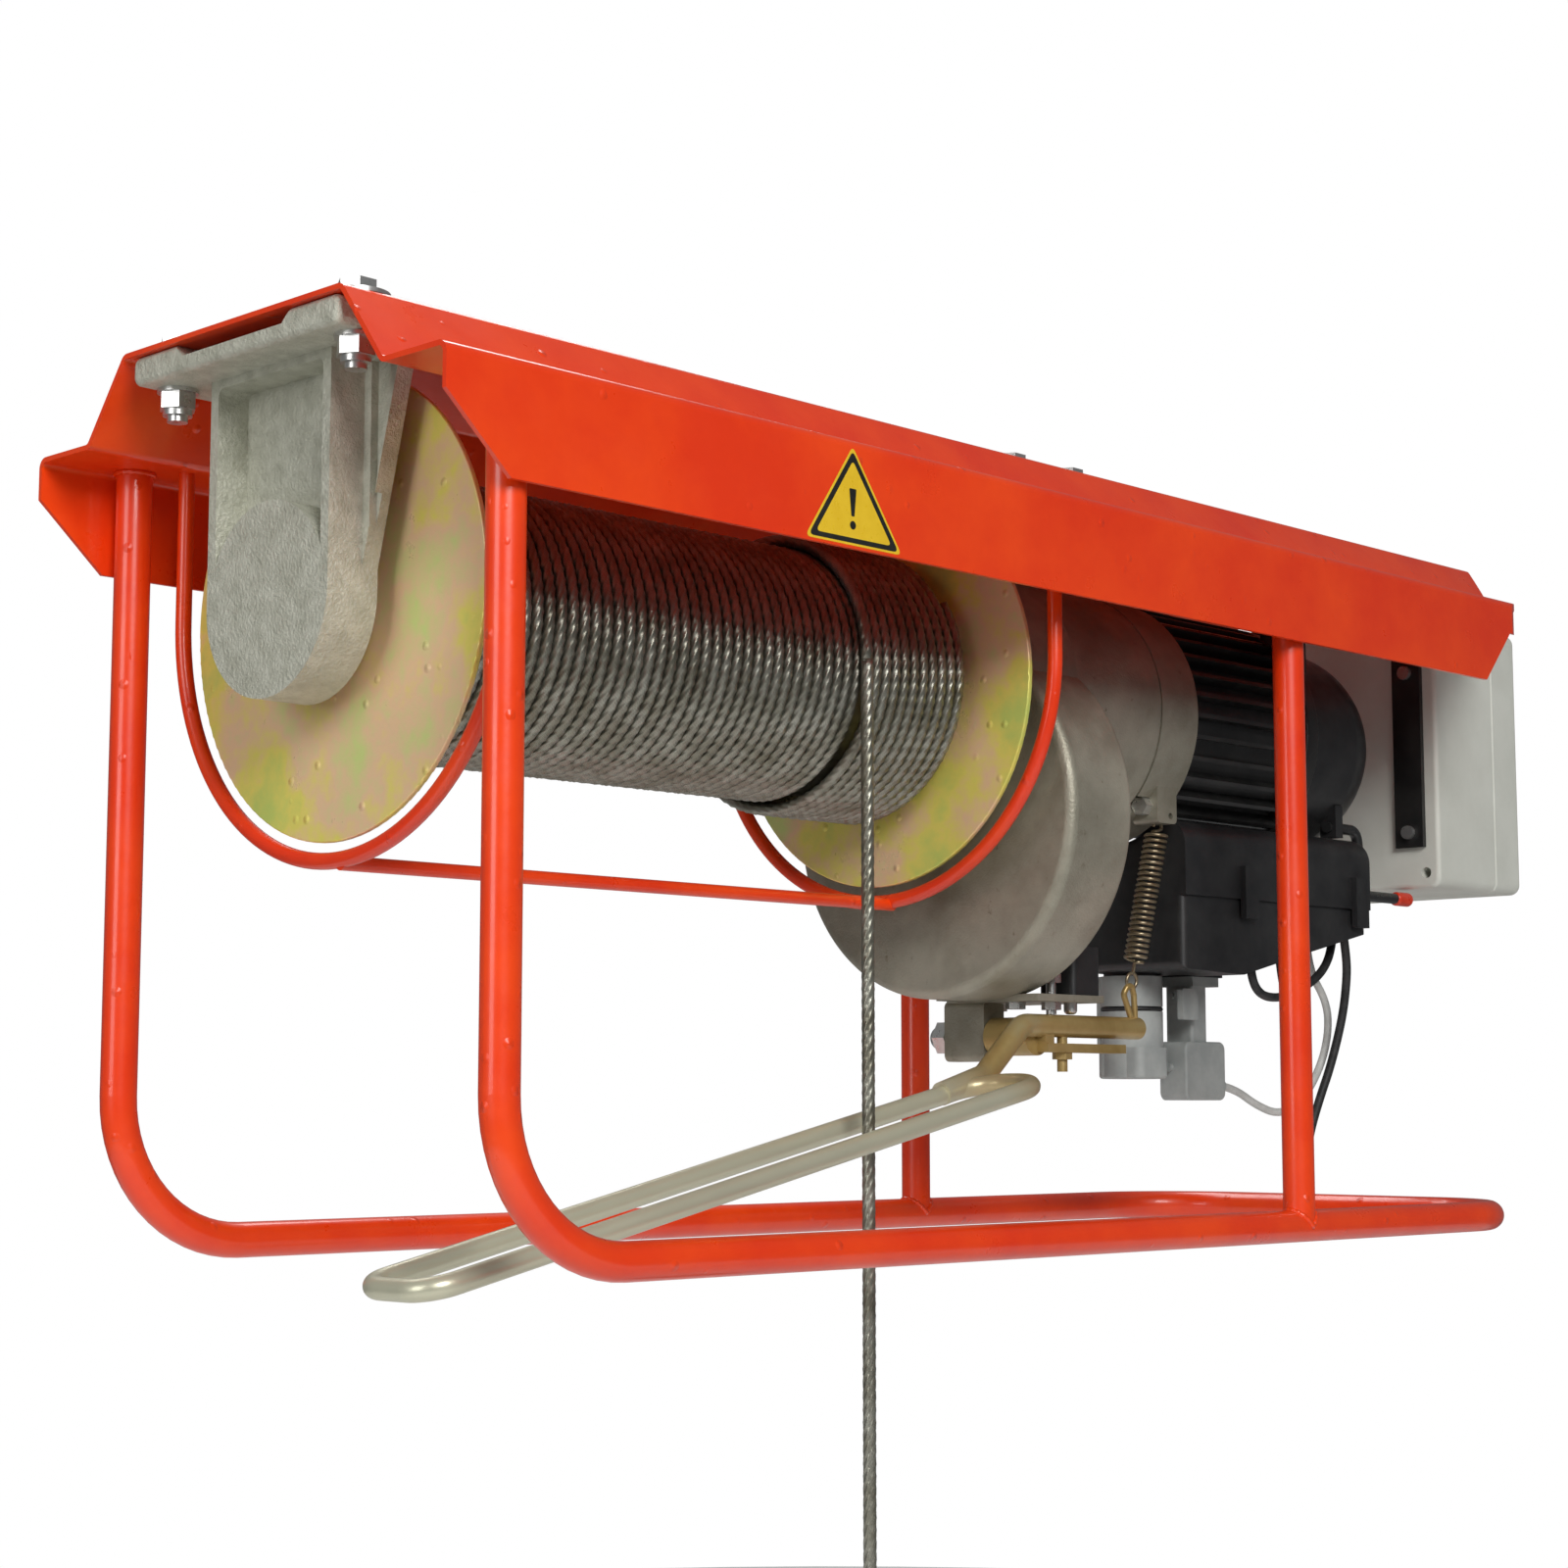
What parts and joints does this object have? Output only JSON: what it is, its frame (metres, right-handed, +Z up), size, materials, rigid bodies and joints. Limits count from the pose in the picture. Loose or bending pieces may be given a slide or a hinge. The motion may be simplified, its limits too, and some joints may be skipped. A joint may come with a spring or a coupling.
{
  "type": "electric wire rope hoist",
  "caption": "Electric wire rope hoist: a sheet canopy and tube frame with a rope drum, gearbox, finned motor, control boxes, rope limit lever and a swivel hook on the rope.",
  "frame": {"origin": "middle of the four suspension bolt holes, on the canopy's top face", "axes": "+X along the drum towards the control box, +Z up, -Y is the side the rope hangs from"},
  "size_m": [1.012, 0.3186, 0.781],
  "materials": {
    "red_paint": "gloss",
    "cast_bracket": "cast",
    "cast_case": "cast",
    "gold_zinc": "yellow passivated",
    "lever_zinc": "yellow passivated",
    "motor_black": "satin",
    "light_plastic": "textured",
    "red_plastic": "gloss",
    "zinc": "zinc plated",
    "steel": "machined",
    "rope_steel": "galvanised",
    "dark_steel": "satin",
    "black_plastic": "textured",
    "grey_plastic": "matt",
    "white_plastic": "gloss",
    "copper": "varnished",
    "cast_weight": "painted",
    "black_rubber": "matt",
    "white_rubber": "matt"
  },
  "bodies": {
    "frame": {"canopy_cover": "red_paint", "base_tube": "red_paint", "right_leg_front": "red_paint", "right_leg_rear": "red_paint", "rope_guard_left": "red_paint", "rope_guard_right": "red_paint", "guard_tie_bar": "red_paint", "bearing_bracket": "cast_bracket", "canopy_fasteners": "zinc", "drum_bearings": "steel", "gearbox_case": "cast_case", "gearbox_cover": "cast_case", "countershaft_bearings": "steel", "rotor_bearings": "steel", "motor_adapter": "cast_case", "motor_housing": "motor_black", "motor_stator": "steel", "motor_windings": "copper", "motor_endshield": "motor_black", "fan_cover": "black_plastic", "motor_tie_rods": "zinc", "brake_magnet": "dark_steel", "terminal_box": "black_plastic", "terminal_box_lid": "black_plastic", "run_capacitor": "white_plastic", "control_box_base": "light_plastic", "control_box_lid": "light_plastic", "contactor": "white_plastic", "box_straps": "motor_black", "strap_screws": "zinc", "pivot_block": "cast_case", "lever_fasteners": "zinc", "limit_switch": "black_plastic", "lever_spring": "lever_zinc", "power_inlet": "grey_plastic", "connector_base": "grey_plastic", "connector_hood": "grey_plastic", "control_cable": "white_rubber", "motor_cable_loop": "black_rubber", "motor_cable_long": "black_rubber", "hanging_rope": "rope_steel"},
    "drum": {"drum_tube": "dark_steel", "drum_flanges": "gold_zinc", "drum_shaft": "steel", "drum_gear": "steel", "wound_rope": "rope_steel", "rope_clamp": "steel"},
    "countershaft": {"countershaft": "steel", "intermediate_gear": "steel"},
    "rotor": {"rotor_shaft": "steel", "rotor_core": "steel", "cooling_fan": "black_plastic", "brake_disc": "steel"},
    "brake_release": {"brake_release": "red_plastic"},
    "plunger": {"switch_plunger": "zinc"},
    "lever": {"limit_lever": "lever_zinc"},
    "hood_lever": {"hood_lever": "grey_plastic"},
    "hook_block": {"rope_weight": "cast_weight"},
    "hook_swivel": {"load_hook": "dark_steel"},
    "latch": {"safety_latch": "zinc"}
  },
  "joints": [
    {"name": "drum_spin", "type": "hinge", "parent": "frame", "child": "drum", "pos_m": [0, 0, -0.1255], "axis": [-1, 0, 0], "range_deg": [0, 160]},
    {"name": "countershaft_spin", "type": "hinge", "parent": "frame", "child": "countershaft", "pos_m": [0.07, 0, -0.1975], "axis": [-1, 0, 0], "range_deg": [-801, 0]},
    {"name": "rotor_spin", "type": "hinge", "parent": "frame", "child": "rotor", "pos_m": [0.27, 0, -0.1255], "axis": [-1, 0, 0], "range_deg": [0, 5601]},
    {"name": "hook_travel", "type": "slide", "parent": "frame", "child": "hook_block", "axis": [0, 0, 1], "range_m": [0, 0.2051], "deforming": ["hanging_rope"]},
    {"name": "hook_swivel", "type": "hinge", "parent": "hook_block", "child": "hook_swivel", "pos_m": [-0.0783, -0.0734, -0.68], "axis": [0, 0, 1], "continuous": true},
    {"name": "latch_pivot", "type": "hinge", "parent": "hook_swivel", "child": "latch", "pos_m": [-0.0823, -0.0734, -0.706], "axis": [0, -1, 0], "range_deg": [0, 35], "stiffness_Nm_per_rad": 0.03, "springref_deg": -14.32},
    {"name": "lever_pivot", "type": "hinge", "parent": "frame", "child": "lever", "pos_m": [0.1, 0, -0.318], "axis": [0, 1, 0], "range_deg": [0, 5.7], "stiffness_Nm_per_rad": 2, "springref_deg": -17.19, "deforming": ["lever_spring"]},
    {"name": "plunger_travel", "type": "slide", "parent": "frame", "child": "plunger", "axis": [0, 0, -1], "range_m": [0, 0.003]},
    {"name": "hood_lever_pivot", "type": "hinge", "parent": "frame", "child": "hood_lever", "pos_m": [0.266, -0.014, -0.29], "axis": [-1, 0, 0], "range_deg": [0, 25]},
    {"name": "brake_release_pivot", "type": "hinge", "parent": "frame", "child": "brake_release", "pos_m": [0.392, -0.048, -0.179], "axis": [-1, 0, 0], "range_deg": [0, 15]}
  ],
  "couplings": [
    {"joint": "countershaft_spin", "follows": "drum_spin", "ratio": -5},
    {"joint": "rotor_spin", "follows": "drum_spin", "ratio": 35},
    {"joint": "hook_travel", "follows": "drum_spin", "m_per_rad": 0.0734},
    {"joint": "plunger_travel", "follows": "lever_pivot", "m_per_rad": 0.029}
  ]
}
